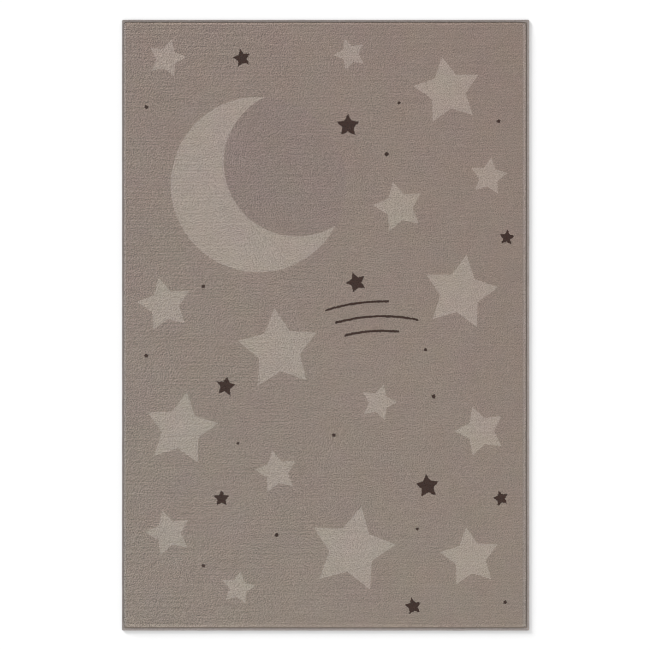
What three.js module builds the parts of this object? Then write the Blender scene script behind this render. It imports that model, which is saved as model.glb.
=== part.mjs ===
// A nursery rug lying flat: a woven panel with a short cut pile, and the overlocking yarn sewn over
// its edge. Millimetres. +X runs across the rug, +Y along it and +Z up from the floor to the pile.
// The origin is on the floor, under the middle of the rug.

import * as THREE from 'three';

// Driving dimensions of the whole rug
const RUG_WIDTH = 1000;
const RUG_LENGTH = 1500;
const RUG_HEIGHT = 10;
const CORNER_STEPS = 5;

// Edging: a yarn wrapped over and under the bare edge of the ground cloth
const EDGING_WIDTH = 6;
const EDGING_HEIGHT = 5.2;
const EDGING_RADIUS = 3;
const YARN_THICKNESS = 1.4;
const YARN_ROUND = 1.8;
const YARN_STEPS = 6;
const PIECE_GAP = 0.3;

// Pile: it starts past a narrow groove beside the edging, and its rim is clipped round. At the corners
// of the rug the panel is rounder than the yarn that is pulled over it.
const PANEL_RADIUS = 6;
const GROOVE_WIDTH = 2;
const RIM_LEAN = 0.5;
const RIM_ROUND = 2.6;
const RIM_STEPS = 4;

// Ground cloth: it lies on the floor but for the last stretch, which the edging lifts
const REST_INSET = 24;

// Colours under the light of a plain room
const PILE_COLOUR = 0x8e8178;
const EDGING_COLOUR = 0x867c76;
const CLOTH_ROUGHNESS = 0.95;

// Heights and insets that follow from the sizes above
const CLOTH_BOTTOM = YARN_THICKNESS + PIECE_GAP;
const CLOTH_TOP = EDGING_HEIGHT - YARN_THICKNESS - PIECE_GAP;
const CLOTH_EDGE = YARN_THICKNESS + PIECE_GAP;
const PILE_FOOT = EDGING_WIDTH + GROOVE_WIDTH;

// The points of the rug's outline, moved in from the edge and with rounded corners, running
// anticlockwise from above. Every outline has the same number of points, so that two of them can be
// joined point to point.
function outline(inset, radius) {
  const x = RUG_WIDTH / 2 - inset - radius;
  const y = RUG_LENGTH / 2 - inset - radius;
  const quarter = Math.PI / 2;
  const shape = new THREE.Shape();
  shape.absarc(x, y, radius, 0, quarter, false);
  shape.absarc(-x, y, radius, quarter, 2 * quarter, false);
  shape.absarc(-x, -y, radius, 2 * quarter, 3 * quarter, false);
  shape.absarc(x, -y, radius, 3 * quarter, 4 * quarter, false);
  return shape.getPoints(CORNER_STEPS);
}

// Rows round a bulging edge, along an ellipse about its middle. An angle of 0 faces away from the rug,
// -90 degrees faces down and 90 degrees faces up.
function bulge(middle, halfWidth, halfHeight, fromDegrees, toDegrees, steps) {
  const { degToRad } = THREE.MathUtils;
  const from = degToRad(fromDegrees);
  const to = degToRad(toDegrees);
  const curve = new THREE.EllipseCurve(-middle.inset, middle.height, halfWidth, halfHeight, from, to);
  return curve.getPoints(steps).map((point) => ({ inset: -point.x, height: point.y }));
}

// The skin through a table of rows, each an outline at its inset and height. An open table is closed by
// a flat face under its first row and one over its last; a ring joins its last row to its first.
function skin(rows, radius, isRing) {
  const loops = rows.map((row) => outline(row.inset, radius));
  const count = loops[0].length;
  const points = [];
  loops.forEach((loop, index) => {
    loop.forEach((point) => points.push(point.x, point.y, rows[index].height));
  });

  const faces = [];
  const bands = isRing ? rows.length : rows.length - 1;
  for (let band = 0; band < bands; band += 1) {
    const lower = band * count;
    const upper = ((band + 1) % rows.length) * count;
    for (let side = 0; side < count; side += 1) {
      const next = (side + 1) % count;
      faces.push(lower + side, lower + next, upper + next);
      faces.push(lower + side, upper + next, upper + side);
    }
  }
  if (!isRing) {
    const top = (rows.length - 1) * count;
    THREE.ShapeUtils.triangulateShape(loops[0], []).forEach(([a, b, c]) => faces.push(a, c, b));
    THREE.ShapeUtils.triangulateShape(loops[rows.length - 1], []).forEach(([a, b, c]) => {
      faces.push(top + a, top + b, top + c);
    });
  }

  const geometry = new THREE.BufferGeometry();
  geometry.setAttribute('position', new THREE.Float32BufferAttribute(points, 3));
  geometry.setIndex(faces);
  geometry.computeVertexNormals();
  return geometry;
}

function cloth(colour) {
  return new THREE.MeshStandardMaterial({ color: colour, roughness: CLOTH_ROUGHNESS, metalness: 0 });
}

// The woven panel, from the part of its underside that lies on the floor, out along the lifted edge,
// round the bare strip of ground cloth, and up the rim of the pile
function rugPanel() {
  const rimMiddle = { inset: PILE_FOOT - RIM_LEAN + RIM_ROUND, height: RUG_HEIGHT - RIM_ROUND };
  const rows = [
    { inset: REST_INSET, height: 0 },
    { inset: (REST_INSET + PILE_FOOT) / 2, height: CLOTH_BOTTOM / 4 },
    { inset: PILE_FOOT, height: CLOTH_BOTTOM },
    { inset: CLOTH_EDGE, height: CLOTH_BOTTOM },
    { inset: CLOTH_EDGE, height: CLOTH_TOP },
    { inset: PILE_FOOT, height: CLOTH_TOP },
    ...bulge(rimMiddle, RIM_ROUND, RIM_ROUND, 0, 90, RIM_STEPS),
  ];
  const mesh = new THREE.Mesh(skin(rows, PANEL_RADIUS, false), cloth(PILE_COLOUR));
  mesh.name = 'rug_panel';
  return mesh;
}

// The overlocking yarn, as one ring with the section of a rounded C that is open towards the pile
function edging() {
  const half = EDGING_HEIGHT / 2;
  const lip = YARN_THICKNESS / 3;
  const rows = [
    { inset: EDGING_WIDTH, height: lip },
    { inset: EDGING_WIDTH - 2 * lip, height: 0 },
    ...bulge({ inset: YARN_ROUND, height: half }, YARN_ROUND, half, -90, 90, YARN_STEPS),
    { inset: EDGING_WIDTH - 2 * lip, height: EDGING_HEIGHT },
    { inset: EDGING_WIDTH, height: EDGING_HEIGHT - lip },
    { inset: EDGING_WIDTH, height: EDGING_HEIGHT - YARN_THICKNESS },
    { inset: YARN_THICKNESS, height: EDGING_HEIGHT - YARN_THICKNESS },
    { inset: YARN_THICKNESS, height: YARN_THICKNESS },
    { inset: EDGING_WIDTH, height: YARN_THICKNESS },
  ];
  const mesh = new THREE.Mesh(skin(rows, EDGING_RADIUS, true), cloth(EDGING_COLOUR));
  mesh.name = 'edging';
  return mesh;
}

const rug = new THREE.Group();
rug.add(rugPanel(), edging());

export default rug;
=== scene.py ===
"""A nursery rug lying flat on a pale floor, seen from straight above.

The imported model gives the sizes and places. Here the rug gets its looks: a short cut pile with a moon
and stars woven in, the ground cloth under it, the tufts at its rim and the overlocking yarn round its
edge. Metres, +Z up, +Y towards the top of the picture.
"""

import math
from collections import namedtuple

import bpy
import numpy as np
from bpy.props import FloatProperty, FloatVectorProperty, IntProperty, PointerProperty
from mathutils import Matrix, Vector, noise


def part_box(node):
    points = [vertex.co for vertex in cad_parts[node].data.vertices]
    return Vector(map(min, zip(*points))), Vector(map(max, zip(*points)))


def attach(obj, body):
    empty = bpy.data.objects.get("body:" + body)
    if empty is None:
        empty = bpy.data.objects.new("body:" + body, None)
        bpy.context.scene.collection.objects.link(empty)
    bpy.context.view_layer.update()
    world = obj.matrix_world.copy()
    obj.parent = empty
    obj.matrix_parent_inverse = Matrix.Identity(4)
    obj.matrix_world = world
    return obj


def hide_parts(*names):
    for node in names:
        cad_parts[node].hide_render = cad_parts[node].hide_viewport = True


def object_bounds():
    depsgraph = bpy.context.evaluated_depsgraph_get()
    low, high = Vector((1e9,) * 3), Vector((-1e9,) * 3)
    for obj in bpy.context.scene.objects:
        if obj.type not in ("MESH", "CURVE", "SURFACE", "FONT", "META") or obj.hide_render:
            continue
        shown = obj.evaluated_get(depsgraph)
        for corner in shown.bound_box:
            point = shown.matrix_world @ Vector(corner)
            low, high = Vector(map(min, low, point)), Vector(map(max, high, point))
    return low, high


bl_info = {
    "name": "Nursery rug",
    "version": (1, 0, 0),
    "blender": (4, 5, 0),
    "location": "3D View > Sidebar > Rug",
    "description": "Dresses a flat pile rug: its pile, rim, overlocked edge and the studio it lies in",
    "category": "Object",
}

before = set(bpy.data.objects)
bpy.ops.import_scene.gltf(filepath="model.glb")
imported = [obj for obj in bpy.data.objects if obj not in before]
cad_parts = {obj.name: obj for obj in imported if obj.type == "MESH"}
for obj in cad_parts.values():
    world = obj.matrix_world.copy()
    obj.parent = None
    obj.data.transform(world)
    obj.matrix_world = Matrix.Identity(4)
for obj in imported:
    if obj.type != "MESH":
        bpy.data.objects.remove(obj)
CAD_LOW, CAD_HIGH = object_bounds()
PANEL_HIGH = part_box("rug_panel")[1]
EDGING_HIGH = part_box("edging")[1]

# The rug's outline and heights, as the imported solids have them
HALF_WIDTH = CAD_HIGH.x
HALF_LENGTH = CAD_HIGH.y
PANEL_RADIUS = 0.006
EDGING_RADIUS = 0.003
PILE_TOP = PANEL_HIGH.z
CLOTH_EDGE = CAD_HIGH.x - PANEL_HIGH.x
EDGING_WIDTH = 0.006
EDGING_HEIGHT = EDGING_HIGH.z
YARN_THICKNESS = 0.0014
PIECE_GAP = 0.0003
CLOTH_BOTTOM = YARN_THICKNESS + PIECE_GAP
CLOTH_TOP = EDGING_HEIGHT - YARN_THICKNESS - PIECE_GAP
GROOVE_WIDTH = 0.002
PILE_FOOT = EDGING_WIDTH + GROOVE_WIDTH
REST_INSET = 0.024

# The pile's rim, clipped round. The whole pile leans one way, towards the top left, and its rim at
# each end leans in. The lean grows with a power of the height.
RIM_ROUND = 0.0024
RIM_INSET = PILE_FOOT + RIM_ROUND
PILE_LEAN = Vector((-0.0031, 0.0020))
END_LEAN = 0.0016
LEAN_POWER = 1.5

# What is woven into the pile. Places in metres from the rug's middle, turns in degrees.
Star = namedtuple("Star", "x y radius turn")
Dot = namedtuple("Dot", "x y radius")
Trail = namedtuple("Trail", "bend start end")

MOON = Dot(-0.165, 0.345, 0.215)
MOON_CUT = Dot(-0.070, 0.398, 0.180)

PALE_STARS = (
    Star(0.300, 0.575, 0.085, 10),
    Star(-0.390, 0.655, 0.048, -14),
    Star(0.060, 0.665, 0.040, 20),
    Star(0.400, 0.365, 0.047, -8),
    Star(0.180, 0.290, 0.064, 14),
    Star(-0.395, 0.050, 0.068, 12),
    Star(0.330, 0.080, 0.094, -10),
    Star(-0.115, -0.060, 0.102, 6),
    Star(0.130, -0.190, 0.046, -16),
    Star(-0.355, -0.255, 0.092, -9),
    Star(0.380, -0.260, 0.064, 18),
    Star(-0.120, -0.360, 0.054, 12),
    Star(-0.385, -0.510, 0.058, 16),
    Star(-0.215, -0.645, 0.042, -10),
    Star(0.065, -0.550, 0.108, -12),
    Star(0.355, -0.570, 0.075, 8),
)

DARK_STARS = (
    Star(0.055, 0.490, 0.029, 0),
    Star(-0.205, 0.655, 0.023, 12),
    Star(0.075, 0.105, 0.026, 20),
    Star(-0.245, -0.150, 0.025, -10),
    Star(0.250, -0.395, 0.030, 6),
    Star(-0.255, -0.425, 0.021, 0),
    Star(0.430, -0.425, 0.020, 15),
    Star(0.445, 0.215, 0.020, -6),
    Star(0.215, -0.690, 0.022, 10),
)

DARK_DOTS = (
    Dot(0.150, 0.420, 0.0050),
    Dot(0.425, 0.500, 0.0045),
    Dot(0.180, 0.545, 0.0040),
    Dot(-0.440, 0.535, 0.0045),
    Dot(-0.300, 0.095, 0.0050),
    Dot(-0.440, -0.075, 0.0045),
    Dot(0.245, -0.060, 0.0040),
    Dot(0.265, -0.175, 0.0050),
    Dot(0.020, -0.270, 0.0045),
    Dot(-0.215, -0.290, 0.0040),
    Dot(-0.300, -0.590, 0.0045),
    Dot(-0.120, -0.515, 0.0050),
    Dot(0.225, -0.500, 0.0040),
    Dot(0.440, -0.680, 0.0045),
)

# Fine dark lines that sweep away from one star, round a common middle
TRAIL_MIDDLE = Dot(0.140, -0.400, 0.0)
TRAIL_WIDTH = 0.0055
TRAILS = (
    Trail(0.386, 104, 84),
    Trail(0.422, 106, 78),
    Trail(0.458, 108, 88),
)

# Every star has five points, one of them upright at a turn of 0. Its inner corners lie this share of
# the way out to its tips.
STAR_POINTS = 5
STAR_WAIST = 0.52
UPRIGHT = 90


# Settings that a user may change. Each has its name, its description and its default.


def a_number(name, description, default, **kind):
    return FloatProperty(name=name, description=description, default=default, **kind)


def a_length(name, description, default, **limits):
    return a_number(name, description, default, unit="LENGTH", **limits)


def an_angle(name, description, degrees):
    return a_number(name, description, math.radians(degrees), subtype="ANGLE")


def a_colour(name, description, default):
    return FloatVectorProperty(name=name, description=description, default=default, subtype="COLOR")


class PileSettings(bpy.types.PropertyGroup):
    """The pile and what is woven into it."""

    tuft_width: a_length(
        "Tuft width", "Distance from one tuft to the next across the rug", 0.0021, min=0.001
    )
    row_pitch: a_length(
        "Row pitch", "Distance from one row of tufts to the next along the rug", 0.0018, min=0.001
    )
    tuft_relief: a_length(
        "Tuft relief", "How far the middle of a tuft stands above the gaps beside it", 0.0007
    )
    tone_spread: a_number(
        "Tone spread",
        "How much lighter or darker than its neighbours one tuft may be",
        0.25,
        subtype="FACTOR",
    )
    tuft_tilt: a_number("Tuft tilt", "Steepest slope of the cut end of a tuft", 0.5)
    unevenness: a_length("Unevenness", "How far the clipped face swells and dips", 0.00025)
    mesh_step: a_length("Mesh step", "Size of the mesh's squares on the pile's face", 0.0047, min=0.003)
    ground_colour: a_colour("Ground colour", "Colour of most of the pile", (0.350, 0.280, 0.236))
    moon_shade_colour: a_colour(
        "Moon shade colour",
        "Colour of the moon's dark side, a little deeper than the ground",
        (0.333, 0.264, 0.229),
    )
    pale_colour: a_colour(
        "Pale colour", "Colour of the moon and the larger stars", (0.474, 0.3985, 0.3425)
    )
    dark_colour: a_colour(
        "Dark colour", "Colour of the small stars, dots and fine lines", (0.0515, 0.0243, 0.0170)
    )
    cloth_colour: a_colour(
        "Ground cloth colour", "Colour of the woven cloth under the pile", (0.30, 0.25, 0.21)
    )


class EdgingSettings(bpy.types.PropertyGroup):
    """The overlocking yarn and the tufts beside it."""

    wrap_pitch: a_length(
        "Wrap pitch", "Distance from one wrap of the yarn to the next", 0.0024, min=0.0023
    )
    wrap_relief: a_length("Wrap relief", "How far a wrap stands above the valley beside it", 0.00035)
    yarn_colour: a_colour("Yarn colour", "Colour of the overlocking yarn", (0.328, 0.290, 0.271))
    rim_rows: IntProperty(
        name="Rim rows",
        description="Rows of single tufts along the pile's rim",
        default=2,
        min=1,
        max=3,
    )


class StudioSettings(bpy.types.PropertyGroup):
    """The floor, the lights and the camera."""

    floor_colour: a_colour("Floor colour", "Colour of the plain floor", (0.75, 0.75, 0.75))
    room_light: a_number("Room light", "Brightness of the light from all round", 1.0)
    rug_light: a_number(
        "Light on the rug", "Strength of the light from the bottom right that brings out the pile", 1.1
    )
    rug_light_height: an_angle("Height of the light on the rug", "Its angle above the floor", 27)
    floor_light: a_number(
        "Light on the floor", "Strength of the light from the top left that casts the rug's shadow", 4.1
    )
    floor_light_height: an_angle("Height of the light on the floor", "Its angle above the floor", 17)
    picture_width: a_length("Picture width", "Width of floor that the picture takes in", 1.5964)


# Shader maths as expressions


class Wire:
    """A socket on its way through a shader. Arithmetic on it adds Math nodes."""

    def __init__(self, shader, socket):
        self.shader = shader
        self.socket = socket

    def out(self, name):
        """Another output of the node that this one comes from."""
        return Wire(self.shader, self.socket.node.outputs[name])

    def math(self, operation, *others):
        return self.shader.math(operation, self, *others)

    def __add__(self, other):
        return self.math("ADD", other)

    __radd__ = __add__

    def __sub__(self, other):
        return self.math("SUBTRACT", other)

    def __rsub__(self, other):
        return self.shader.math("SUBTRACT", other, self)

    def __mul__(self, other):
        return self.math("MULTIPLY", other)

    __rmul__ = __mul__

    def __abs__(self):
        return self.math("ABSOLUTE")

    def __lt__(self, other):
        return self.math("LESS_THAN", other)


# A layer of soft noise in a material's tone
Layer = namedtuple("Layer", "scale detail amount")

# Sockets of a colour mix, which go by number
MIX_SHARE, MIX_FIRST, MIX_SECOND, MIX_RESULT = 0, 6, 7, 2


class Shader:
    """A material and the one method that adds nodes to it."""

    def __init__(self, name):
        self.material = bpy.data.materials.new(name)
        self.material.use_nodes = True
        self.tree = self.material.node_tree
        self.tree.nodes.clear()

    def node(self, kind, settings=None, values=None, out=0):
        """A node with its settings made first, then its sockets set or linked; returns one output."""
        node = self.tree.nodes.new(kind)
        for name, value in (settings or {}).items():
            setattr(node, name, value)
        for name, value in (values or {}).items():
            if isinstance(value, Wire):
                self.tree.links.new(value.socket, node.inputs[name])
            else:
                node.inputs[name].default_value = value
        return Wire(self, node.outputs[out]) if node.outputs else None

    def math(self, operation, *values):
        return self.node("ShaderNodeMath", {"operation": operation}, dict(enumerate(values)))

    def vector(self, operation, *values, out="Vector"):
        settings = {"operation": operation}
        return self.node("ShaderNodeVectorMath", settings, dict(enumerate(values)), out)

    def split(self, vector):
        """The three numbers of a vector."""
        parts = self.node("ShaderNodeSeparateXYZ", None, {"Vector": vector})
        return parts, parts.out("Y"), parts.out("Z")

    def ramp(self, value, start, end, first, last):
        """A number eased from first to last as the value goes from start to end."""
        names = ("Value", "From Min", "From Max", "To Min", "To Max")
        values = dict(zip(names, (value, start, end, first, last)))
        return self.node("ShaderNodeMapRange", {"interpolation_type": "SMOOTHSTEP"}, values)

    def mix(self, share, first, second):
        """From the first colour to the second, by a share."""
        values = {MIX_SHARE: share, MIX_FIRST: first, MIX_SECOND: second}
        return self.node("ShaderNodeMix", {"data_type": "RGBA"}, values, MIX_RESULT)

    def tinted(self, colour, brightness):
        """A colour made lighter or darker by a number."""
        values = {"Vector": colour, "Scale": brightness}
        return self.node("ShaderNodeVectorMath", {"operation": "SCALE"}, values)

    def noise(self, vector, scale, detail=2.0):
        """Soft noise about zero, from about -0.5 to 0.5."""
        values = {"Vector": vector, "Scale": scale, "Detail": detail}
        return self.node("ShaderNodeTexNoise", None, values) - 0.5

    def uneven(self, tone, vector, layers):
        """A tone with layers of soft noise added."""
        for layer in layers:
            tone = tone + self.noise(vector, layer.scale, layer.detail) * layer.amount
        return tone

    def colour_noise(self, vector, scale):
        """Three soft noises about zero, as the three parts of a colour or a place."""
        values = {"Vector": vector, "Scale": scale, "Detail": 1.0}
        noises = self.node("ShaderNodeTexNoise", None, values, out="Color")
        return self.vector("SUBTRACT", noises, (0.5, 0.5, 0.5))

    def cells(self, vector, **values):
        """Cells round scattered points: the distance from the nearest point."""
        settings = {"voronoi_dimensions": "2D"}
        return self.node("ShaderNodeTexVoronoi", settings, {"Vector": vector, **values}, "Distance")

    def finish(self, values, height=None):
        """Ends the material in one surface, with a bump where a height in metres is given."""
        if height is not None:
            bump = {"Strength": 1.0, "Distance": 1.0, "Height": height}
            values = {**values, "Normal": self.node("ShaderNodeBump", None, bump)}
        surface = self.node("ShaderNodeBsdfPrincipled", None, values)
        self.node("ShaderNodeOutputMaterial", None, {"Surface": surface})
        return self.material


def rgba(colour):
    return (*colour, 1.0)


# What is woven into the pile, as distances that are negative inside a shape


def star_distance(shader, place, star):
    """Distance from the edge of a star. One half of one point is drawn, and the rest folded onto it."""
    step = math.pi / STAR_POINTS
    across = STAR_WAIST * math.cos(step) - 1
    along = STAR_WAIST * math.sin(step)
    slope = math.atan2(-across, along)
    offset = shader.vector("SUBTRACT", place, (star.x, star.y, 0))
    x, y, _ = shader.split(offset)
    reach = shader.vector("LENGTH", offset, out="Value")
    turned = shader.math("ARCTAN2", y, x) - math.radians(UPRIGHT + star.turn)
    folded = shader.math("PINGPONG", turned, step)
    return reach * (folded - slope).math("COSINE") - star.radius * math.cos(slope)


def dot_distance(shader, place, dot):
    """Distance from the edge of a round dot."""
    offset = shader.vector("SUBTRACT", place, (dot.x, dot.y, 0))
    return shader.vector("LENGTH", offset, out="Value") - dot.radius


def trail_distance(shader, place, trail):
    """Distance from the edge of a fine arc round the trails' middle."""
    middle = math.radians((trail.start + trail.end) / 2)
    half = math.radians(abs(trail.start - trail.end) / 2)
    offset = shader.vector("SUBTRACT", place, (TRAIL_MIDDLE.x, TRAIL_MIDDLE.y, 0))
    reach = shader.vector("LENGTH", offset, out="Value")
    facing = (math.cos(middle), math.sin(middle), 0)
    towards = shader.vector("DOT_PRODUCT", offset, facing, out="Value")
    beside = abs(reach - trail.bend) - TRAIL_WIDTH / 2
    return beside.math("MAXIMUM", reach * math.cos(half) - towards)


def nearest(distances):
    """The shapes joined into one: the least of their distances."""
    joined = None
    for distance in distances:
        joined = distance if joined is None else joined.math("MINIMUM", distance)
    return joined


def woven_colour(shader, place, pile):
    """The colour of the yarn at a place in the woven design, and where it is pale."""
    disc = dot_distance(shader, place, MOON)
    moon = disc.math("MAXIMUM", 0 - dot_distance(shader, place, MOON_CUT))
    stars = [star_distance(shader, place, star) for star in PALE_STARS]
    small = [star_distance(shader, place, star) for star in DARK_STARS]
    dots = [dot_distance(shader, place, dot) for dot in DARK_DOTS]
    lines = [trail_distance(shader, place, trail) for trail in TRAILS]
    colour = shader.mix(disc < 0, rgba(pile.ground_colour), rgba(pile.moon_shade_colour))
    pale = nearest([moon, *stars]) < 0
    colour = shader.mix(pale, colour, rgba(pile.pale_colour))
    return shader.mix(nearest([*small, *dots, *lines]) < 0, colour, rgba(pile.dark_colour)), pale


# Materials

PILE_FINISH = {"Roughness": 0.9, "Specular IOR Level": 0.15, "Sheen Weight": 0.12}
YARN_FINISH = {"Roughness": 0.8, "Specular IOR Level": 0.2, "Sheen Weight": 0.1}
CLOTH_FINISH = {"Roughness": 0.9, "Specular IOR Level": 0.15}
FIBRE_SCALE = 2600
FIBRE_RELIEF = 0.0003

# Tufts: how far they are off their grid, where the painted shade in the gaps between them lies, how
# frayed they are, and where the one that leans over a tuft and casts painted shade on it stands
TUFT_SCATTER = 0.85
TUFT_EDGE = (0.30, 0.62)
TUFT_GAP_SHADE = 0.80
FRAY_SCALE = 1500
FRAY_REACH = 0.0008
TUFT_BEYOND = (-0.0019, 0.0017, 0.0)
SHADED_SHARE = 0.5
FIBRE_TONE = 0.45
CLUMP_SCALE = 190
CLUMP_STRETCH = (0.6, 1, 1)
CLUMP_RELIEF = 0.0020

# Grain, with the painted shade in it: strongest at the left, and weaker in the pale yarn
GRAIN = 0.95
ROUGHER_LEFT = 0.9
LEAST_GRAIN = 0.68
SMOOTHER_PALE = 0.25

# Rows of the weave, each shaded by the next
ROW_RUN = 7
ROW_WIDTH = 0.0047
ROW_BEYOND = (0.0, 0.75, 0.0)
ROW_TONE = 0.21

# Slow changes over the rug: soft noise in the tone, a painted light that makes the left lighter, soft
# noise in the dye, a painted tint of light that drifts for every metre each way, and a greyer tint
# along the long sides on the rim's painted highlight there
MOTTLE = (Layer(5, 2, 0.07), Layer(38, 2, 0.09))
PAINTED_LIGHT_LEFT = 0.074
DYE_SCALE = 14
DYE_SPREAD = 0.07
PAINTED_LIGHT_ACROSS = (0.0, -0.037, -0.056)
PAINTED_LIGHT_ALONG = (-0.009, -0.047, -0.039)
SIDE_HIGHLIGHT_TINT = (-0.040, 0.010, 0.065)

# The pile's rim: where its painted highlight line and the painted shade line behind it lie, and how
# uneven they are
RIM_LINE = 0.0132
RIM_FADE = 0.0016
RIM_HIGHLIGHT = 1.19
RIM_SHADE = 0.95
RIM_HIGHLIGHT_DRIFT = 0.08
RIM_BEAD_SCALE = 380
RIM_BEADS = 1.2
RIM_TUFT_GAP_SHADE = 0.93
RIM_FIBRE_TONE = 0.7
RIM_FIBRE_STRETCH = (1, 1, 0.15)
LIGHTEST_TUFT = 1.4
FOOT_TONE = 0.66
SIDE_SHADE = (CLOTH_TOP + 0.0022, PILE_TOP - RIM_ROUND / 5)


def depth_tone(shader, place):
    """The pile's sides darken towards its foot, where little light gets in."""
    _, _, z = shader.split(place)
    return shader.ramp(z, *SIDE_SHADE, FOOT_TONE, 1)


def painted_rim_light_and_shade(shader, place):
    """The pile's rim is a painted highlight, a line of uneven tufts, with a faint painted shade line
    behind it. The painted highlight is strongest on the sides that the pile leans towards."""
    x, y, _ = shader.split(place)
    # Painted highlight, stronger towards the top and left, and beadier at the left
    highlight_drift = y * (RIM_HIGHLIGHT_DRIFT / HALF_LENGTH) - x * (RIM_HIGHLIGHT_DRIFT / HALF_WIDTH)
    beads = shader.noise(shader.vector("MULTIPLY", place, (1, 1, 0)), RIM_BEAD_SCALE, 0)
    highlight_drift = highlight_drift + beads * (RIM_BEADS - x * RIM_BEADS)
    x, y, _ = shader.split(shader.vector("ABSOLUTE", shader.vector("SUBTRACT", place, (*PILE_LEAN, 0))))
    inset = (HALF_WIDTH - x).math("MINIMUM", (HALF_LENGTH - END_LEAN) - y)
    # Painted highlight along the rim's line, and painted shade just behind it
    light = shader.ramp(inset, RIM_LINE - RIM_FADE, RIM_LINE, 1, 0) * (highlight_drift + RIM_HIGHLIGHT - 1)
    dark = shader.ramp(abs(inset - RIM_LINE - RIM_FADE), 0, RIM_FADE, 1, 0) * (RIM_SHADE - 1)
    return light + dark


def dye_and_painted_light(shader, place, colour):
    """A colour that changes at random over the rug as the yarn's dyeing does, is tinted a little across
    and along the rug by painted light, and is greyer along the long sides where the rim's painted
    highlight lies.
    """
    x, y, _ = shader.split(place)
    # A painted tint of light across and along the rug, plus random changes in the dye
    dye_and_light = shader.vector("ADD", shader.tinted(PAINTED_LIGHT_ACROSS, x), shader.tinted(PAINTED_LIGHT_ALONG, y))
    dye_and_light = shader.vector("ADD", dye_and_light, shader.tinted(shader.colour_noise(place, DYE_SCALE), DYE_SPREAD))
    # A greyer tint along the long sides, on the rim's painted highlight there
    inset = HALF_WIDTH - abs(x - PILE_LEAN.x)
    sides = shader.ramp(inset, RIM_LINE - RIM_FADE, RIM_LINE + RIM_FADE, 1, 0)
    dye_and_light = shader.vector("ADD", dye_and_light, shader.tinted(SIDE_HIGHLIGHT_TINT, sides))
    return shader.vector("MULTIPLY", colour, shader.vector("ADD", (1, 1, 1), dye_and_light))


def scattered_tufts(shader, place, grid):
    """Tufts near the points of a woven grid: the distance from the middle of the nearest."""
    return shader.cells(shader.vector("MULTIPLY", place, grid), Scale=1, Randomness=TUFT_SCATTER)


def pile_material(pile):
    """Short cut pile: each tuft is one cell with one colour, a little lighter or darker by chance, and
    is shaded by the tuft that leans over it. So is each row. The bump's height is in metres."""
    shader = Shader("short cut pile")
    place = shader.node("ShaderNodeTexCoord", out="Object")
    fray = shader.tinted(shader.colour_noise(place, FRAY_SCALE), 2 * FRAY_REACH)
    frayed = shader.vector("ADD", place, fray)
    grid = (1 / pile.tuft_width, 1 / pile.row_pitch, 1)
    tufts = scattered_tufts(shader, frayed, grid)
    middle = shader.vector("DIVIDE", tufts.out("Position"), grid)
    chance = shader.vector("SUBTRACT", tufts.out("Color"), (0.5, 0.5, 0.5))
    lighter, _, _ = shader.split(chance)
    beyond = scattered_tufts(shader, shader.vector("ADD", frayed, TUFT_BEYOND), grid)
    shaded, _, _ = shader.split(beyond.out("Color"))
    colour, pale = woven_colour(shader, middle, pile)

    x, _, _ = shader.split(place)
    fibres = 0.5 - shader.cells(place, Scale=FIBRE_SCALE)
    rows = shader.vector("MULTIPLY", place, (ROW_RUN, 1 / ROW_WIDTH, 1))
    rows = shader.noise(rows, 1, 0) - shader.noise(shader.vector("ADD", rows, ROW_BEYOND), 1, 0)
    roughness = (GRAIN - x * ROUGHER_LEFT).math("MAXIMUM", LEAST_GRAIN)
    # Each tuft's own tone by chance, less a painted shade cast by the tuft that leans over it
    grain_and_shade = lighter - (shaded - 0.5) * SHADED_SHARE
    uneven = (grain_and_shade * (2 * pile.tone_spread) + rows * ROW_TONE) * roughness
    uneven = uneven * (1 - pale * SMOOTHER_PALE)
    tone = shader.uneven(1 + uneven + fibres * FIBRE_TONE, place, MOTTLE) + painted_rim_light_and_shade(shader, place)
    # Painted shade in the gaps between tufts
    gap_shade = shader.ramp(tufts, *TUFT_EDGE, 1, TUFT_GAP_SHADE)
    # Painted shade towards the pile's foot, and painted light that makes the left lighter
    colour = shader.tinted(colour, tone * gap_shade * depth_tone(shader, place) * (1 - x * PAINTED_LIGHT_LEFT))
    colour = dye_and_painted_light(shader, place, colour)

    beside = shader.vector("SUBTRACT", place, middle)
    tilt = shader.vector("DOT_PRODUCT", beside, chance, out="Value") * (2 * pile.tuft_tilt)
    clumps = shader.noise(shader.vector("MULTIPLY", place, CLUMP_STRETCH), CLUMP_SCALE, 1)
    height = tufts * tufts * (-2 * pile.tuft_relief) + fibres * FIBRE_RELIEF
    height = height + (tilt + clumps * CLUMP_RELIEF) * roughness
    return shader.finish({**PILE_FINISH, "Base Color": colour}, height)


def tuft_material(pile):
    """The same pile yarn on the single tufts of the rim, darker by the painted shade that the panel's
    tufts have in their gaps on average, and with the rim's painted highlight and shade. Each carries
    its tone as an attribute, with a painted highlight where it strays out.
    """
    shader = Shader("rim tuft yarn")
    place = shader.node("ShaderNodeTexCoord", out="Object")
    # The tone by chance, plus a painted highlight on tufts that stray out
    chance = shader.node("ShaderNodeAttribute", {"attribute_name": "tone"}, out="Fac")
    fibres = shader.noise(shader.vector("MULTIPLY", place, RIM_FIBRE_STRETCH), FIBRE_SCALE, 1)
    # Painted shade as in the panel's gaps, and the rim's painted highlight and shade
    tone = RIM_TUFT_GAP_SHADE + painted_rim_light_and_shade(shader, place) + (chance - 0.5) * (2 * pile.tone_spread)
    tone = tone + fibres * RIM_FIBRE_TONE
    tone = tone.math("MINIMUM", LIGHTEST_TUFT) * depth_tone(shader, place)
    colour = dye_and_painted_light(shader, place, shader.tinted(pile.ground_colour, tone))
    return shader.finish({**PILE_FINISH, "Base Color": colour}, fibres * FIBRE_RELIEF)


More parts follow.
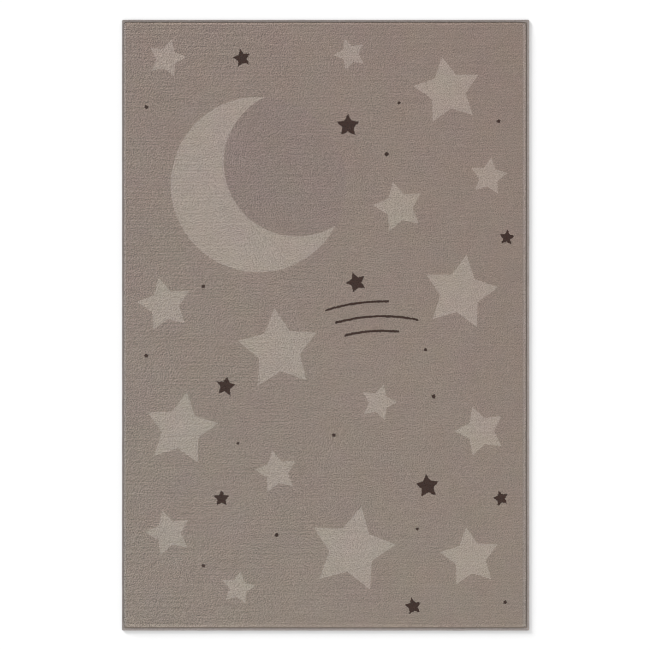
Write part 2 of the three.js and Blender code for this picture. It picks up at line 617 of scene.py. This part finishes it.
# The ground cloth's weave, the painted shade in the gaps of its weave, and its unevenness
RIB_PITCH = 0.0026
WARP_PITCH = 0.0036
RIB_RELIEF = 0.0006
RIB_EDGE = 0.6
RIB_GAP_SHADE = 0.66
HELD_RIB = 0.35
WOBBLE_SCALE = 60
WOBBLE = 0.0008
CLOTH_LAYERS = (Layer(240, 2, 0.2), Layer(5, 2, 0.08))


def cloth_material(pile):
    """The woven ground cloth: ribs of weft across the rug, held down by warps along it, with painted
    shade in the gaps between them.
    """
    shader = Shader("woven ground cloth")
    place = shader.node("ShaderNodeTexCoord", out="Object")
    x, y, _ = shader.split(place)
    wobble = shader.noise(place, WOBBLE_SCALE) * WOBBLE
    weft = ((y + wobble) * (math.pi / RIB_PITCH)).math("SINE")
    warp = ((x + wobble) * (math.pi / WARP_PITCH)).math("SINE")
    over = weft * warp * 0.5 + 0.5
    raised = HELD_RIB + (1 - HELD_RIB) * over
    rib = (abs(weft) * raised).math("MAXIMUM", abs(warp) * (1 - over))
    height = rib * RIB_RELIEF + shader.noise(place, FIBRE_SCALE, 1) * FIBRE_RELIEF
    # Painted shade in the gaps between ribs and warps
    tone = shader.uneven(shader.ramp(rib, 0, RIB_EDGE, RIB_GAP_SHADE, 1), place, CLOTH_LAYERS)
    colour = shader.tinted(pile.cloth_colour, tone)
    return shader.finish({**CLOTH_FINISH, "Base Color": colour}, height)


# The overlocking yarn: its map, its plies with painted shade between them, the crease between two wraps
# with its painted shade, and its unevenness
WRAP_MAP = "wraps"
PLY_COUNT = 3
PLY_SLANT = 4
PLY_RELIEF = 0.0002
PLY_EDGE = 0.7
PLY_SHADE_RANGE = (0.82, 1.04)
CREASE = (0.28, 0.5)
CREASE_SHADE = 0.7
YARN_LAYERS = (Layer(45, 2, 0.16), Layer(900, 1, 0.2), Layer(190, 1, 0.5))


def yarn_material(edging):
    """The overlocking yarn: its plies run slantwise along each wrap, on the piece's own map. Painted
    shade darkens the grooves between plies and the crease between wraps.
    """
    shader = Shader("overlocking yarn")
    place = shader.node("ShaderNodeTexCoord", out="Object")
    wraps, round_edge, _ = shader.split(shader.node("ShaderNodeUVMap", {"uv_map": WRAP_MAP}))
    across = wraps.math("FRACT")
    slanted = wraps * PLY_COUNT + round_edge * PLY_SLANT
    ply = abs((slanted * math.pi).math("SINE"))
    # Painted shade in the crease between wraps and in the grooves between plies
    crease_shade = shader.ramp(abs(across - 0.5), *CREASE, 1, CREASE_SHADE)
    tone = shader.ramp(ply, 0, PLY_EDGE, *PLY_SHADE_RANGE) * crease_shade
    tone = shader.uneven(tone, place, YARN_LAYERS)
    colour = shader.tinted(edging.yarn_colour, tone)
    height = ply * PLY_RELIEF + shader.noise(place, FIBRE_SCALE, 1) * FIBRE_RELIEF
    return shader.finish({**YARN_FINISH, "Base Color": colour}, height)


# The rug's outline


class Outline:
    """The rug's rectangle with rounded corners, walked anticlockwise from the lower end of its
    right side."""

    def __init__(self, radius):
        self.radius = radius
        self.side_x = HALF_WIDTH - radius
        self.side_y = HALF_LENGTH - radius
        corner = radius * math.pi / 2
        self.spans = np.array([2 * self.side_y, corner, 2 * self.side_x, corner] * 2)
        self.ends = np.cumsum(self.spans)
        self.length = float(self.ends[-1])

    def at(self, along, inset):
        """Places at distances along the outline, moved in by insets, and the angle they face."""
        along = np.mod(along, self.length)
        span = np.minimum(np.searchsorted(self.ends, along, side="right"), len(self.spans) - 1)
        share = 1 - (self.ends[span] - along) / self.spans[span]
        turning = span % 2 == 1
        quarter = (span // 2) * (math.pi / 2)
        ahead = np.where(turning, 1.0, 2 * share - 1)
        facing = quarter + np.where(turning, share, 0.0) * (math.pi / 2)
        unit_x = np.cos(quarter) - ahead * np.sin(quarter)
        unit_y = np.sin(quarter) + ahead * np.cos(quarter)
        x = unit_x * (self.side_x - inset) + self.radius * np.cos(facing)
        y = unit_y * (self.side_y - inset) + self.radius * np.sin(facing)
        return x, y, facing


PILE_OUTLINE = Outline(PANEL_RADIUS)
EDGE_OUTLINE = Outline(EDGING_RADIUS)


def soft_noise(x, y, scale, seed):
    """Smooth noise at each place, from about -1 to 1, the same on every run."""
    places = zip((x * scale).tolist(), (y * scale).tolist())
    return np.array([noise.noise(Vector((a, b, seed))) for a, b in places])


# Making and finishing a piece

# The map that each piece's finish is baked through
BAKE_MAP = "OFBake"


def corners_of(mesh):
    """The vertex at each corner of each face."""
    corners = np.empty(len(mesh.loops), int)
    mesh.loops.foreach_get("vertex_index", corners)
    return corners


def points_of(mesh):
    """The places of a mesh's vertices, as rows of x, y and z."""
    points = np.empty(len(mesh.vertices) * 3)
    mesh.vertices.foreach_get("co", points)
    return points.reshape(-1, 3)


def set_points(mesh, points):
    mesh.vertices.foreach_set("co", points.ravel())
    mesh.update()


def lay_map(mesh, name, places):
    """Gives the corners of all faces their places on a new map."""
    mesh.uv_layers.new(name=name).data.foreach_set("uv", places.ravel())


def lean_pile(points):
    """Moves points of the pile the way it leans, its tips most and its foot not at all."""
    rise = np.clip((points[..., 2] - CLOTH_TOP) / (PILE_TOP - CLOTH_TOP), 0, 1) ** LEAN_POWER
    points[..., 0] += PILE_LEAN.x * rise
    points[..., 1] += (PILE_LEAN.y - END_LEAN * points[..., 1] / HALF_LENGTH) * rise


def edit_all(piece, operator, **values):
    """Runs an operator of edit mode on the whole of a piece."""
    bpy.ops.object.select_all(action="DESELECT")
    piece.select_set(True)
    bpy.context.view_layer.objects.active = piece
    bpy.ops.object.mode_set(mode="EDIT")
    bpy.ops.mesh.select_all(action="SELECT")
    operator(**values)
    bpy.ops.object.mode_set(mode="OBJECT")


def extrude_to(rise, spread, centre=(0, 0, 0)):
    """Draws the selected edge up by a rise, then spreads it about a centre."""
    bpy.ops.mesh.extrude_edges_move(TRANSFORM_OT_translate={"value": (0, 0, rise)})
    bpy.ops.transform.resize(value=(*spread, 1), center_override=centre)


def settle(piece, slot, *nodes):
    """Turns a piece's faces out, smooths it and ties it to the rug's body."""
    edit_all(piece, bpy.ops.mesh.normals_make_consistent, inside=False)
    bpy.ops.object.shade_smooth()
    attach(piece, "root")
    if nodes:
        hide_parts(*nodes)


# The panel

RimRow = namedtuple("RimRow", "inset height")
CROWN_STEPS = 4

# How near to a height counts as at it
CLOSE = 1e-5

# Unevenness, as scales and seeds of noise: the face swells and ripples, and the rim wanders
SWELL = (9, 1.5)
RIPPLE = (170, 4.5)
RIPPLE_SHARE = 0.5
RIM_DRIFTS = (26, 7.5)
RIM_WANDER = 0.0006
RIM_BAND = (EDGING_WIDTH + 0.0005, RIM_INSET + 0.003)

# The sizes and places of the pile's face and the underside on the bake map
FACE_SIZE = 0.98
FACE_PLACE = (0.01, 0.01)
UNDERSIDE_SIZE = 0.46
UNDERSIDE_PLACE = (0.68, 0.01)


def rim_rows():
    """Rows from the pile's crown out over its side, round the bare cloth and in under the rug."""
    rows = []
    shoulder = PILE_TOP - RIM_ROUND
    for step in range(1, CROWN_STEPS + 1):
        angle = (1 - step / CROWN_STEPS) * math.pi / 2
        inset = RIM_INSET - RIM_ROUND * math.cos(angle)
        rows.append(RimRow(inset, shoulder + RIM_ROUND * math.sin(angle)))
    return rows + [
        RimRow(PILE_FOOT, (shoulder + CLOTH_TOP) / 2),
        RimRow(PILE_FOOT, CLOTH_TOP),
        RimRow(EDGING_WIDTH, CLOTH_TOP),
        RimRow(CLOTH_EDGE, CLOTH_TOP),
        RimRow(CLOTH_EDGE, CLOTH_BOTTOM),
        RimRow(PILE_FOOT, CLOTH_BOTTOM),
        RimRow((REST_INSET + PILE_FOOT) / 2, CLOTH_BOTTOM / 4),
        RimRow(REST_INSET, 0.0),
    ]


def round_corners(points, inset):
    """Brings the square corners of a flat grid onto the panel's corner radius."""
    middle_x = HALF_WIDTH - inset - PANEL_RADIUS
    middle_y = HALF_LENGTH - inset - PANEL_RADIUS
    out_x = np.maximum(np.abs(points[:, 0]) - middle_x, 0) / PANEL_RADIUS
    out_y = np.maximum(np.abs(points[:, 1]) - middle_y, 0) / PANEL_RADIUS
    round_x = out_x * np.sqrt(1 - out_y**2 / 2)
    round_y = out_y * np.sqrt(1 - out_x**2 / 2)
    points[:, 0] += np.sign(points[:, 0]) * (round_x - out_x) * PANEL_RADIUS
    points[:, 1] += np.sign(points[:, 1]) * (round_y - out_y) * PANEL_RADIUS


def extrude_rim(start, rows):
    """Draws the grid's open edge out through the rows, each a copy of the one before."""
    bpy.ops.mesh.select_non_manifold()
    before = start
    for row in rows:
        spread_x = (HALF_WIDTH - row.inset) / (HALF_WIDTH - before.inset)
        spread_y = (HALF_LENGTH - row.inset) / (HALF_LENGTH - before.inset)
        extrude_to(row.height - before.height, (spread_x, spread_y))
        before = row
    bpy.ops.mesh.edge_face_add()


def make_uneven(points, pile):
    """Lets the clipped face swell and dip, and the rim wander, by fractions of a millimetre."""
    x, y, z = points.T
    inset = np.minimum(HALF_WIDTH - np.abs(x), HALF_LENGTH - np.abs(y))
    face = z > PILE_TOP - CLOSE
    swell = soft_noise(x[face], y[face], *SWELL)
    swell = swell + RIPPLE_SHARE * soft_noise(x[face], y[face], *RIPPLE)
    fade = np.clip((inset[face] - RIM_INSET) / RIM_INSET, 0, 1)
    z[face] += pile.unevenness * fade * swell
    rim = (inset > RIM_BAND[0]) & (inset < RIM_BAND[1]) & (z > CLOTH_TOP + CLOSE)
    drift = RIM_WANDER * soft_noise(x[rim], y[rim], *RIM_DRIFTS)
    beside = HALF_WIDTH - np.abs(x[rim]) < HALF_LENGTH - np.abs(y[rim])
    x[rim] += np.where(beside, drift, 0) * np.sign(x[rim])
    y[rim] += np.where(beside, 0, drift) * np.sign(y[rim])


def lay_bake_map(mesh):
    """Lays out the pile's face and beside it, smaller, the underside."""
    sides = [face.loop_total for face in mesh.polygons]
    below = np.repeat([face.material_index for face in mesh.polygons], sides)
    places = (points_of(mesh)[corners_of(mesh), :2] + [HALF_WIDTH, HALF_LENGTH]) / (2 * HALF_LENGTH)
    upper = places * FACE_SIZE + FACE_PLACE
    lower = places * UNDERSIDE_SIZE + UNDERSIDE_PLACE
    lay_map(mesh, BAKE_MAP, np.where(below[:, None] == 1, lower, upper))


class RUG_OT_add_panel(bpy.types.Operator):
    """Make the woven panel: the clipped pile, its rim, the bare cloth edge and the underside"""

    bl_idname = "rug.add_panel"
    bl_label = "Woven panel"

    def execute(self, context):
        pile = context.scene.rug_pile
        start = RimRow(RIM_INSET, PILE_TOP)
        width = 2 * (HALF_WIDTH - start.inset)
        length = 2 * (HALF_LENGTH - start.inset)
        bpy.ops.mesh.primitive_grid_add(
            x_subdivisions=round(width / pile.mesh_step),
            y_subdivisions=round(length / pile.mesh_step),
            size=1,
            location=(0, 0, 0),
        )
        piece = context.object
        piece.name = "woven_panel"
        mesh = piece.data
        points = points_of(mesh) * [width, length, 1] + [0, 0, start.height]
        round_corners(points, start.inset)
        set_points(mesh, points)
        bpy.ops.object.mode_set(mode="EDIT")
        bpy.ops.mesh.select_all(action="DESELECT")
        extrude_rim(start, rim_rows())
        bpy.ops.object.mode_set(mode="OBJECT")

        mesh.materials.append(pile_material(pile))
        mesh.materials.append(cloth_material(pile))
        for face in mesh.polygons:
            face.material_index = 1 if face.center.z < CLOTH_TOP + CLOSE else 0
        points = points_of(mesh)
        make_uneven(points, pile)
        lean_pile(points)
        set_points(mesh, points)
        lay_bake_map(mesh)
        settle(piece, "pile", "rug_panel")
        return {"FINISHED"}


# The rim tufts

TUFT_SIDES = 5
TuftRing = namedtuple("TuftRing", "height radius")
TUFT_RINGS = (
    TuftRing(0.00, 0.75),
    TuftRing(0.50, 0.95),
    TuftRing(0.86, 1.02),
    TuftRing(1.00, 0.70),
)
TuftRow = namedtuple("TuftRow", "inset foot top lean")
TUFT_ROWS = (
    TuftRow(0.0093, CLOTH_TOP - 0.0002, PILE_TOP - 0.0004, 0.0004),
    TuftRow(0.0116, CLOTH_TOP + 0.0010, PILE_TOP + 0.0002, 0.0002),
    TuftRow(0.0136, CLOTH_TOP + 0.0030, PILE_TOP + 0.0002, 0.0001),
)
TUFT_PITCH = 0.0025
TUFT_RADIUS = 0.00125
TUFT_SEED = 11

# How far chance moves a tuft along the rim (as a share of the pitch) and in from it, tilts it, and
# changes its height and radius. Neighbours also stray together, and carry a stronger painted highlight
# as they stray out.
ALONG_CHANCE = 0.35
INSET_CHANCE = 0.0003
LEAN_CHANCE = 0.0004
TOP_CHANCE = 0.0003
RADIUS_SHARES = (0.85, 1.12)
TUFT_STRAY = 0.0018
TUFT_STRAY_SCALE = 300
TUFT_STRAY_HIGHLIGHT = 0.5

# How a tuft lies in its square of the bake map, as shares: how far out its tip and its foot reach,
# what is near enough to its axis to lie in the middle, and how much of the square it fills
TIP_ON_MAP = 0.2
FOOT_ON_MAP = 0.95
MIDDLE_OF_TUFT = 0.05
SQUARE_FILL = 0.45


def model_tuft():
    """One tuft, a unit high and about a unit in radius, drawn up through its rings to a blunt tip."""
    before = TUFT_RINGS[0]
    bpy.ops.mesh.primitive_circle_add(vertices=TUFT_SIDES, radius=before.radius, location=(0, 0, 0))
    tuft = bpy.context.object
    bpy.ops.object.mode_set(mode="EDIT")
    for ring in TUFT_RINGS[1:]:
        grow = ring.radius / before.radius
        extrude_to(ring.height - before.height, (grow, grow), (0, 0, ring.height))
        before = ring
    bpy.ops.mesh.edge_face_add()
    bpy.ops.mesh.poke()
    bpy.ops.mesh.select_all(action="DESELECT")
    bpy.ops.mesh.select_non_manifold()
    bpy.ops.mesh.edge_face_add()
    bpy.ops.mesh.select_all(action="SELECT")
    bpy.ops.mesh.quads_convert_to_tris()
    bpy.ops.object.mode_set(mode="OBJECT")
    return tuft


def place_tufts(shape, rows):
    """The points of every tuft, each a copy of the shape leaned, turned and sized by chance, and how
    far each strays. They stray least at the ends of the rug, which run along a row."""
    chance = np.random.default_rng(TUFT_SEED)
    copies = []
    strays = []
    for row in rows:
        count = round(PILE_OUTLINE.length / TUFT_PITCH)
        along = (np.arange(count) + ALONG_CHANCE * chance.uniform(-1, 1, count)) * TUFT_PITCH
        inset = row.inset + INSET_CHANCE * chance.uniform(-1, 1, count)
        x, y, facing = PILE_OUTLINE.at(along, inset)
        lean = row.lean + LEAN_CHANCE * chance.uniform(-1, 1, count)
        stray = soft_noise(x, y, TUFT_STRAY_SCALE, row.top + row.foot)
        lean = lean + TUFT_STRAY * np.abs(np.cos(facing)) * stray
        top = row.top + TOP_CHANCE * chance.uniform(-1, 1, count)
        radius = TUFT_RADIUS * chance.uniform(*RADIUS_SHARES, count)
        turn = chance.uniform(0, 2 * math.pi, count)[:, None]
        local_x = shape[:, 0] * np.cos(turn) - shape[:, 1] * np.sin(turn)
        local_y = shape[:, 0] * np.sin(turn) + shape[:, 1] * np.cos(turn)
        rise = shape[:, 2] ** 2
        points = np.stack(
            [
                x[:, None] + local_x * radius[:, None] + rise * (lean * np.cos(facing))[:, None],
                y[:, None] + local_y * radius[:, None] + rise * (lean * np.sin(facing))[:, None],
                row.foot + shape[:, 2] * (top - row.foot)[:, None],
            ],
            axis=2,
        )
        lean_pile(points)
        copies.append(points)
        strays.append(stray)
    return np.concatenate(copies), np.concatenate(strays)


class RUG_OT_add_rim_tufts(bpy.types.Operator):
    """Stand single tufts along the pile's rim, leaning out over the groove beside the edging"""

    bl_idname = "rug.add_rim_tufts"
    bl_label = "Rim tufts"

    def execute(self, context):
        tuft = model_tuft()
        shape = points_of(tuft.data)
        faces = np.array([face.vertices[:] for face in tuft.data.polygons])
        bpy.data.objects.remove(tuft)

        points, strays = place_tufts(shape, TUFT_ROWS[: context.scene.rug_edging.rim_rows])
        count = len(points)
        starts = np.arange(count) * len(shape)
        mesh = bpy.data.meshes.new("rim_tufts")
        every_face = (faces[None] + starts[:, None, None]).reshape(-1, 3)
        mesh.from_pydata(points.reshape(-1, 3).tolist(), [], every_face.tolist())
        piece = bpy.data.objects.new("rim_tufts", mesh)
        context.collection.objects.link(piece)

        # Tone by chance, plus a painted highlight on tufts that stray out
        tones_and_highlights = np.random.default_rng(TUFT_SEED + 1).uniform(0, 1, count) + TUFT_STRAY_HIGHLIGHT * strays
        tone = mesh.attributes.new("tone", "FLOAT", "POINT")
        tone.data.foreach_set("value", np.repeat(tones_and_highlights, len(shape)))
        self.lay_bake_map(mesh, shape, count)
        mesh.materials.append(tuft_material(context.scene.rug_pile))
        settle(piece, "pile")
        return {"FINISHED"}

    @staticmethod
    def lay_bake_map(mesh, shape, count):
        """Lays out each tuft from above in a small square of its own, the foot spread widest."""
        cells = math.ceil(math.sqrt(count))
        spread = TIP_ON_MAP + (FOOT_ON_MAP - TIP_ON_MAP) * (1 - shape[:, 2])
        angle = np.arctan2(shape[:, 1], shape[:, 0])
        reach = np.where(np.hypot(shape[:, 0], shape[:, 1]) > MIDDLE_OF_TUFT, spread, 0) * SQUARE_FILL
        inside = np.stack([np.cos(angle), np.sin(angle)], axis=1) * reach[:, None] + 0.5
        cell = np.stack([np.arange(count) % cells, np.arange(count) // cells], axis=1)
        places = ((cell[:, None] + inside[None]) / cells).reshape(-1, 2)
        lay_map(mesh, BAKE_MAP, places[corners_of(mesh)])


# The overlocked edge

# A wrap has three steps along the edge, and slants by a share of the pitch over its outer points.
SectionPoint = namedtuple("SectionPoint", "inset height swells")
STATIONS = 3
OUTER_STEPS = 12
WRAP_SLANT = 0.9
MERGE_REACH = 1e-6

# The yarn wanders, but for what lies on the floor
EDGE_WANDER = 0.00025
EDGE_DRIFTS = (30, 2.5)
OFF_THE_FLOOR = 0.0002

# The strip on its bake map: cut into rows, each with a margin all round
BAKE_ROWS = 8
ROW_SPARE = 1.01
ROW_SHARE = 0.97
ROW_START = 0.01
ROW_FOOT = 0.04
ROW_HEIGHT = 0.8
QUAD = 4


def edging_section():
    """The section of the wrapped yarn: out over the top, round the edge, in underneath, then the
    slot that holds the cloth. Only the outer points swell and dip from wrap to wrap."""
    top, width = EDGING_HEIGHT, EDGING_WIDTH
    return (
        SectionPoint(width, top - YARN_THICKNESS, 0.0),
        SectionPoint(1.04 * width, 0.88 * top, 0.6),
        SectionPoint(0.90 * width, 1.00 * top, 1.0),
        SectionPoint(0.52 * width, 1.02 * top, 1.0),
        SectionPoint(0.22 * width, 0.94 * top, 1.0),
        SectionPoint(0.05 * width, 0.74 * top, 1.0),
        SectionPoint(0.00 * width, 0.50 * top, 1.0),
        SectionPoint(0.05 * width, 0.24 * top, 1.0),
        SectionPoint(0.24 * width, 0.04 * top, 0.6),
        SectionPoint(0.55 * width, 0.00 * top, 0.0),
        SectionPoint(0.85 * width, 0.00 * top, 0.0),
        SectionPoint(0.99 * width, 0.09 * top, 0.0),
        SectionPoint(width, YARN_THICKNESS, 0.0),
        SectionPoint(YARN_THICKNESS, YARN_THICKNESS, 0.0),
        SectionPoint(YARN_THICKNESS, top - YARN_THICKNESS, 0.0),
    )


class RUG_OT_add_edging(bpy.types.Operator):
    """Wrap the overlocking yarn round the rug's edge: one wrap, repeated in a strip, laid all round"""

    bl_idname = "rug.add_edging"
    bl_label = "Overlocked edge"

    def execute(self, context):
        edging = context.scene.rug_edging
        count = round(EDGE_OUTLINE.length / edging.wrap_pitch)
        pitch = EDGE_OUTLINE.length / count
        piece = self.model_wrap(pitch, edging.wrap_relief)
        repeat = piece.modifiers.new("wraps", "ARRAY")
        repeat.count = count
        repeat.use_relative_offset = False
        repeat.use_constant_offset = True
        repeat.constant_offset_displace = (pitch, 0, 0)
        repeat.use_merge_vertices = True
        repeat.merge_threshold = MERGE_REACH
        bpy.ops.object.modifier_apply(modifier=repeat.name)

        piece.name = "overlocked_edge"
        mesh = piece.data
        self.lay_maps(mesh, pitch)
        self.lay_round_edge(mesh)
        edit_all(piece, bpy.ops.mesh.remove_doubles, threshold=MERGE_REACH)
        mesh.materials.append(yarn_material(edging))
        settle(piece, "edging_yarn", "edging")
        return {"FINISHED"}

    @staticmethod
    def model_wrap(pitch, relief):
        """One wrap: the section drawn along in a few steps, sunk at its ends and full between. It
        slants as it goes round. x runs along the edge and y in from it."""
        section = edging_section()
        bpy.ops.mesh.primitive_circle_add(vertices=len(section), radius=1, location=(0, 0, 0))
        piece = bpy.context.object
        bpy.ops.object.mode_set(mode="EDIT")
        for _ in range(STATIONS):
            bpy.ops.mesh.extrude_edges_move(TRANSFORM_OT_translate={"value": (0, 0, 1)})
        bpy.ops.object.mode_set(mode="OBJECT")
        station = np.rint(points_of(piece.data)[:, 2]).astype(int)
        order = np.arange(len(station)) % len(section)
        inset, height, swells = np.array(section)[order].T
        sunk = np.where(station % STATIONS == 0, relief, 0) * swells
        beside = inset - EDGING_WIDTH / 2
        above = height - EDGING_HEIGHT / 2
        reach = np.hypot(beside, above)
        inset = inset - sunk * beside / reach
        height = height - sunk * above / reach
        turned = np.clip(order / OUTER_STEPS, 0, 1)
        turned = np.where(order == len(section) - 1, 0, turned)
        along = (station / STATIONS + WRAP_SLANT * turned) * pitch
        set_points(piece.data, np.stack([along, inset, height], axis=1))
        return piece

    @staticmethod
    def lay_maps(mesh, pitch):
        """One map counts the wraps and the way round each; the other holds the baked finish, with
        the long strip cut into rows. Both come from the strip while it is still straight."""
        along, inset, height = points_of(mesh)[corners_of(mesh)].T
        angle = np.arctan2(height - EDGING_HEIGHT / 2, EDGING_WIDTH / 2 - inset) / (2 * math.pi)
        start = np.repeat([face.loop_start for face in mesh.polygons], QUAD)
        angle = angle - np.rint(angle - angle[start])
        low = angle.reshape(-1, QUAD).min(axis=1)
        angle = angle - np.repeat(np.floor(low + 0.5), QUAD) + 0.5
        lay_map(mesh, WRAP_MAP, np.stack([along / pitch, angle], axis=1))

        row_length = EDGE_OUTLINE.length * ROW_SPARE / BAKE_ROWS
        row = np.floor(along[start] / row_length)
        u = (along - row * row_length) / row_length * ROW_SHARE + ROW_START
        v = (row + ROW_FOOT + ROW_HEIGHT * angle) / BAKE_ROWS
        lay_map(mesh, BAKE_MAP, np.stack([u, v], axis=1))

    @staticmethod
    def lay_round_edge(mesh):
        """Bends the straight strip round the rug's outline, and lets it wander a little."""
        along, inset, height = points_of(mesh).T
        x, y, _ = EDGE_OUTLINE.at(along, inset)
        drift = EDGE_WANDER * soft_noise(x, y, *EDGE_DRIFTS) * (height > OFF_THE_FLOOR)
        x, y, _ = EDGE_OUTLINE.at(along, inset + drift)
        set_points(mesh, np.stack([x, y, height], axis=1))


# The studio

CAMERA_LENS = 200.0
CAMERA_SENSOR = 36.0
CAMERA_REACH = 100.0
PICTURE_SOFTNESS = 1.0
RUG_OFF_MIDDLE = Vector((0.0015, -0.0004))
FLOOR_SIZE = 60.0

# Lights from far off. The heading is where one comes from and the size how soft it is, in degrees.
LIGHT_DISTANCE = 4.0
Sun = namedtuple("Sun", "name heading size lit")
RUG_SUN = Sun("light on the rug", -42, 14, ("woven_panel", "rim_tufts", "overlocked_edge"))
FLOOR_SUN = Sun("light on the floor", 133, 16, ("floor",))


def add_camera(picture_width):
    """Straight above the rug, and so far off that it shows almost no perspective."""
    height = picture_width / 2 / (CAMERA_SENSOR / 2 / CAMERA_LENS) + EDGING_HEIGHT / 2
    camera = bpy.data.cameras.new("camera")
    camera.lens = CAMERA_LENS
    camera.sensor_width = CAMERA_SENSOR
    camera.clip_end = CAMERA_REACH
    holder = bpy.data.objects.new("camera", camera)
    holder.location = (-RUG_OFF_MIDDLE.x, -RUG_OFF_MIDDLE.y, height)
    bpy.context.collection.objects.link(holder)
    bpy.context.scene.camera = holder


def add_light(sun, strength, height):
    """A soft light that reaches only the pieces named, though all cast shadows in it."""
    light = bpy.data.lights.new(sun.name, "SUN")
    light.energy = strength
    light.angle = math.radians(sun.size)
    holder = bpy.data.objects.new(sun.name, light)
    heading = math.radians(sun.heading)
    level = math.cos(height)
    towards = Vector((math.cos(heading) * level, math.sin(heading) * level, math.sin(height)))
    holder.location = towards * LIGHT_DISTANCE
    holder.rotation_euler = towards.to_track_quat("Z", "Y").to_euler()
    bpy.context.collection.objects.link(holder)
    pieces = bpy.data.collections.new(f"lit by {sun.name}")
    for piece in sun.lit:
        pieces.objects.link(bpy.data.objects[piece])
    holder.light_linking.receiver_collection = pieces


def add_room_light(strength):
    world = bpy.data.worlds.new("room")
    world.use_nodes = True
    background = world.node_tree.nodes["Background"]
    background.inputs["Color"].default_value = (1, 1, 1, 1)
    background.inputs["Strength"].default_value = strength
    bpy.context.scene.world = world


class RUG_OT_add_studio(bpy.types.Operator):
    """Lay the pale floor and set up the soft lights and the camera above the rug"""

    bl_idname = "rug.add_studio"
    bl_label = "Studio"

    def execute(self, context):
        studio = context.scene.rug_studio
        bpy.ops.mesh.primitive_plane_add(size=FLOOR_SIZE, location=(0, 0, 0))
        floor = context.object
        floor.name = "floor"
        shader = Shader("plain floor")
        colour = rgba(studio.floor_colour)
        values = {"Base Color": colour, "Roughness": 1.0, "Specular IOR Level": 0.0}
        floor.data.materials.append(shader.finish(values))
        add_room_light(studio.room_light)
        add_light(RUG_SUN, studio.rug_light, studio.rug_light_height)
        add_light(FLOOR_SUN, studio.floor_light, studio.floor_light_height)
        add_camera(studio.picture_width)
        context.scene.view_settings.view_transform = "Standard"
        context.scene.cycles.filter_width = PICTURE_SOFTNESS
        return {"FINISHED"}


class RUG_PT_sidebar(bpy.types.Panel):
    """The rug's pieces and settings"""

    bl_label = "Nursery rug"
    bl_space_type = "VIEW_3D"
    bl_region_type = "UI"
    bl_category = "Rug"

    def draw(self, context):
        for group, (_, operators) in GROUPS.items():
            box = self.layout.box()
            settings = getattr(context.scene, group)
            for name in settings.__annotations__:
                box.prop(settings, name)
            for operator in operators:
                box.operator(operator.bl_idname)


# Each group of settings with the operators that use it
GROUPS = {
    "rug_pile": (PileSettings, (RUG_OT_add_panel,)),
    "rug_edging": (EdgingSettings, (RUG_OT_add_rim_tufts, RUG_OT_add_edging)),
    "rug_studio": (StudioSettings, (RUG_OT_add_studio,)),
}


def register():
    for name, (settings, operators) in GROUPS.items():
        for item in (settings, *operators):
            bpy.utils.register_class(item)
        setattr(bpy.types.Scene, name, PointerProperty(type=settings))
    bpy.utils.register_class(RUG_PT_sidebar)


def unregister():
    bpy.utils.unregister_class(RUG_PT_sidebar)
    for name, (settings, operators) in GROUPS.items():
        delattr(bpy.types.Scene, name)
        for item in (*operators, settings):
            bpy.utils.unregister_class(item)


def main():
    register()
    bpy.ops.rug.add_panel()
    bpy.ops.rug.add_rim_tufts()
    bpy.ops.rug.add_edging()
    bpy.ops.rug.add_studio()


if __name__ == "__main__":
    main()
